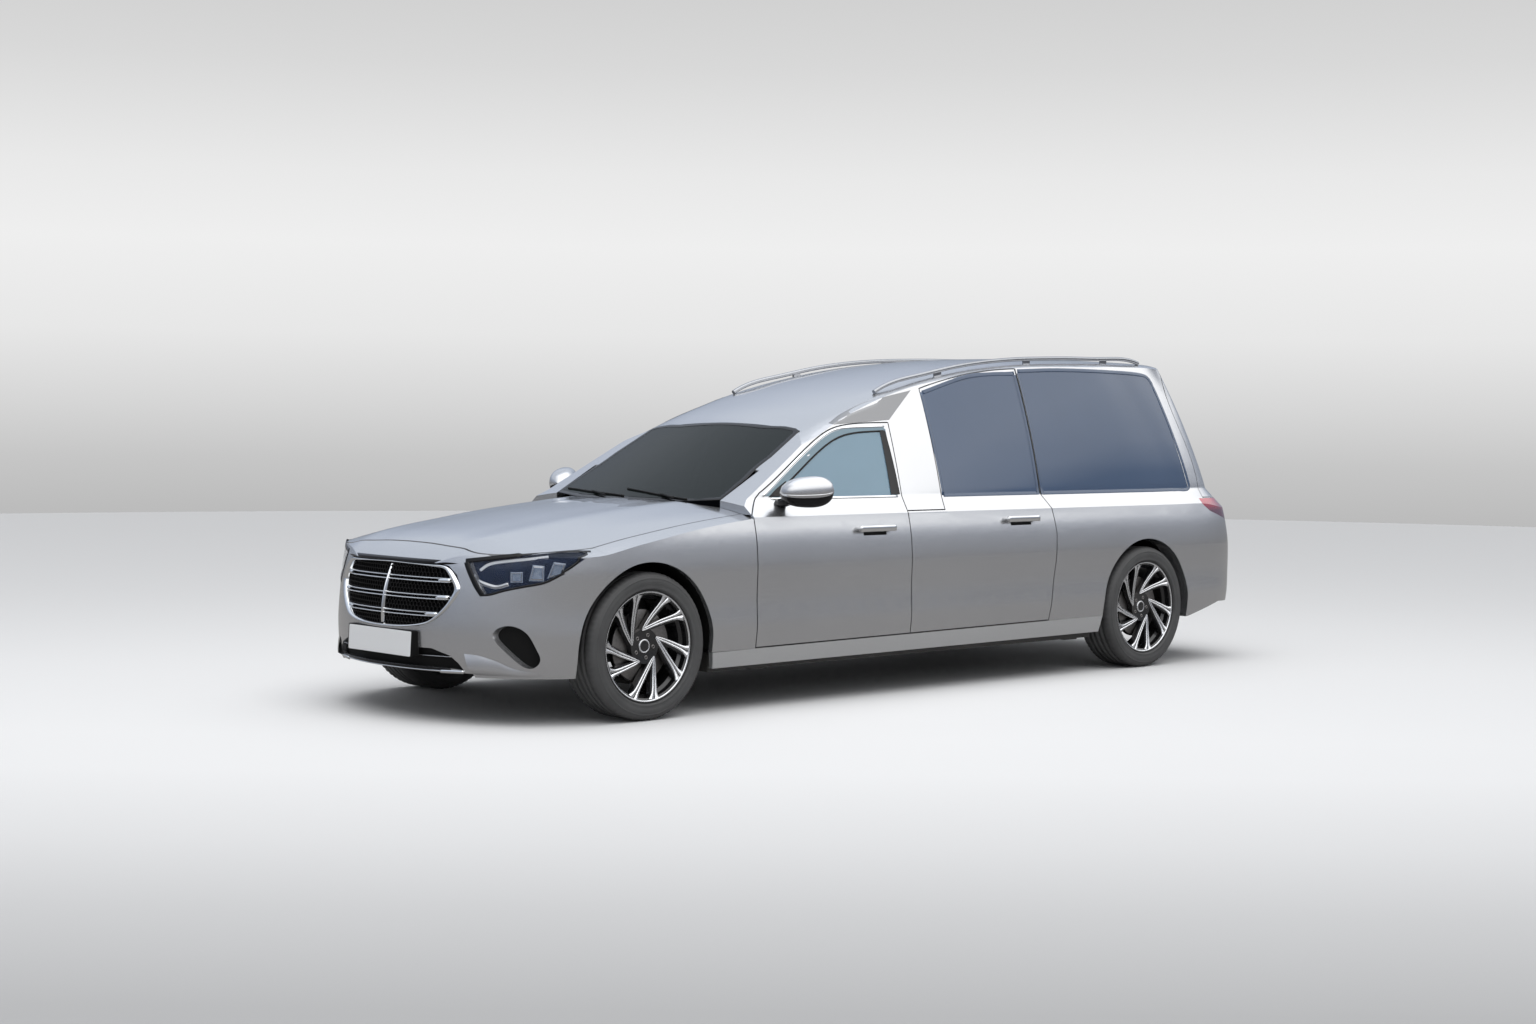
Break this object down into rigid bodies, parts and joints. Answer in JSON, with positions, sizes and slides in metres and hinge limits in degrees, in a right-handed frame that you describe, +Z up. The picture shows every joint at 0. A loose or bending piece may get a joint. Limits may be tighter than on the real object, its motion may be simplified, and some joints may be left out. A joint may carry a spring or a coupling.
{
  "type": "hearse built on a long-wheelbase executive sedan",
  "caption": "Silver hearse on a long executive sedan chassis: raised glazed load space with a coffin deck, side doors, a roof-hinged tailgate, steered road wheels.",
  "frame": {"origin": "on the ground, under the middle of the car's length and width", "axes": "+X forward, +Y to the car's left, +Z up"},
  "size_m": [5.8041, 2.1284, 1.8189],
  "materials": {
    "silver_paint": "metallic clear-coated body paint, glossy",
    "sill_paint": "satin silver sill skirt",
    "dark_glass": "dark privacy glass",
    "tinted_glass": "green tinted side glass",
    "screen_glass": "laminated windscreen",
    "lamp_cover": "clear moulded headlamp cover",
    "lamp_housing": "black headlamp housing",
    "tail_lens": "red moulded tail lamp",
    "chrome": "polished chrome",
    "black_mesh": "black moulded mesh",
    "cowl_black": "black grained plastic",
    "rail": "polished anodised rail",
    "floor_paint": "dark sealed underbody",
    "liner": "felted black arch liner",
    "frame": "black painted steel",
    "engine_block": "cast engine block",
    "dash": "soft black dashboard",
    "steering": "black leather rim",
    "seat": "black leather seat",
    "seat_base": "black seat frame",
    "trim_board": "grey lining",
    "deck": "varnished wooden deck with steel strips",
    "tyre": "black tyre with side wall ribs",
    "alloy": "diamond-turned spoke faces over black paint, iron disc behind",
    "knuckle": "cast steering knuckle",
    "exhaust": "stainless exhaust",
    "axle": "black axle carrier"
  },
  "bodies": {
    "body": {"floor_pan": "floor_paint", "sills": "sill_paint", "body_side_left": "silver_paint", "body_side_right": "silver_paint", "roof": "silver_paint", "front_wings": "silver_paint", "front_bumper": "silver_paint", "rear_bumper": "silver_paint", "radiator_grille": "chrome", "lower_grille": "black_mesh", "headlamp_housings": "lamp_housing", "headlamp_covers": "lamp_cover", "tail_lamps": "tail_lens", "windscreen": "screen_glass", "cowl": "cowl_black", "engine": "engine_block", "front_subframe": "frame", "wheel_arch_liners": "liner", "dashboard": "dash", "steering_column": "seat_base", "seat_bases": "seat_base", "seat_cushions": "seat", "seat_backs": "seat", "partition": "trim_board", "coffin_deck": "deck", "roof_rails": "rail", "quarter_windows": "dark_glass", "rear_axle_carrier": "axle", "exhaust": "exhaust"},
    "bonnet": {"bonnet": "silver_paint"},
    "tailgate": {"tailgate": "silver_paint", "tailgate_glass": "dark_glass"},
    "steering_wheel": {"steering_wheel": "steering"},
    "front_door_left": {"front_door_left": "silver_paint", "front_door_glass_left": "tinted_glass", "mirror_left": "silver_paint"},
    "rear_door_left": {"rear_door_left": "silver_paint", "rear_door_glass_left": "dark_glass"},
    "knuckle_left": {"knuckle_left": "knuckle"},
    "front_wheel_left": {"wheel_front_left": "alloy", "tyre_front_left": "tyre"},
    "rear_wheel_left": {"wheel_rear_left": "alloy", "tyre_rear_left": "tyre"},
    "front_door_right": {"front_door_right": "silver_paint", "front_door_glass_right": "tinted_glass", "mirror_right": "silver_paint"},
    "rear_door_right": {"rear_door_right": "silver_paint", "rear_door_glass_right": "dark_glass"},
    "knuckle_right": {"knuckle_right": "knuckle"},
    "front_wheel_right": {"wheel_front_right": "alloy", "tyre_front_right": "tyre"},
    "rear_wheel_right": {"wheel_rear_right": "alloy", "tyre_rear_right": "tyre"}
  },
  "joints": [
    {"name": "front_door_left_hinge", "type": "hinge", "parent": "body", "child": "front_door_left", "pos_m": [1.328, 0.94, 0.6], "axis": [0, 0, -1], "range_deg": [0, 65]},
    {"name": "rear_door_left_hinge", "type": "hinge", "parent": "body", "child": "rear_door_left", "pos_m": [0.222, 0.94, 0.6], "axis": [0, 0, -1], "range_deg": [0, 65]},
    {"name": "steer_left", "type": "hinge", "parent": "body", "child": "knuckle_left", "pos_m": [2.015, 0.79, 0.352], "axis": [0, 0, 1], "range_deg": [-36, 36]},
    {"name": "front_wheel_left_spin", "type": "hinge", "parent": "knuckle_left", "child": "front_wheel_left", "pos_m": [2.015, 0.817, 0.352], "axis": [0, 1, 0], "continuous": true},
    {"name": "rear_wheel_left_spin", "type": "hinge", "parent": "body", "child": "rear_wheel_left", "pos_m": [-1.785, 0.817, 0.352], "axis": [0, 1, 0], "continuous": true},
    {"name": "front_door_right_hinge", "type": "hinge", "parent": "body", "child": "front_door_right", "pos_m": [1.328, -0.94, 0.6], "axis": [0, 0, 1], "range_deg": [0, 65]},
    {"name": "rear_door_right_hinge", "type": "hinge", "parent": "body", "child": "rear_door_right", "pos_m": [0.222, -0.94, 0.6], "axis": [0, 0, 1], "range_deg": [0, 65]},
    {"name": "steer_right", "type": "hinge", "parent": "body", "child": "knuckle_right", "pos_m": [2.015, -0.79, 0.352], "axis": [0, 0, 1], "range_deg": [-36, 36]},
    {"name": "front_wheel_right_spin", "type": "hinge", "parent": "knuckle_right", "child": "front_wheel_right", "pos_m": [2.015, -0.817, 0.352], "axis": [0, 1, 0], "continuous": true},
    {"name": "rear_wheel_right_spin", "type": "hinge", "parent": "body", "child": "rear_wheel_right", "pos_m": [-1.785, -0.817, 0.352], "axis": [0, 1, 0], "continuous": true},
    {"name": "bonnet_hinge", "type": "hinge", "parent": "body", "child": "bonnet", "pos_m": [1.333, 0, 0.99], "axis": [0, -1, 0], "range_deg": [0, 50]},
    {"name": "tailgate_hinge", "type": "hinge", "parent": "body", "child": "tailgate", "pos_m": [-2.236, 0, 1.806], "axis": [0, 1, 0], "range_deg": [0, 85]},
    {"name": "steering_wheel_turn", "type": "hinge", "parent": "body", "child": "steering_wheel", "pos_m": [0.825, 0.37, 0.905], "axis": [-0.9063, 0, 0.4226], "range_deg": [-432, 432]}
  ],
  "couplings": [
    {"joint": "steer_right", "follows": "steer_left", "ratio": 1},
    {"joint": "steering_wheel_turn", "follows": "steer_left", "ratio": 12}
  ]
}
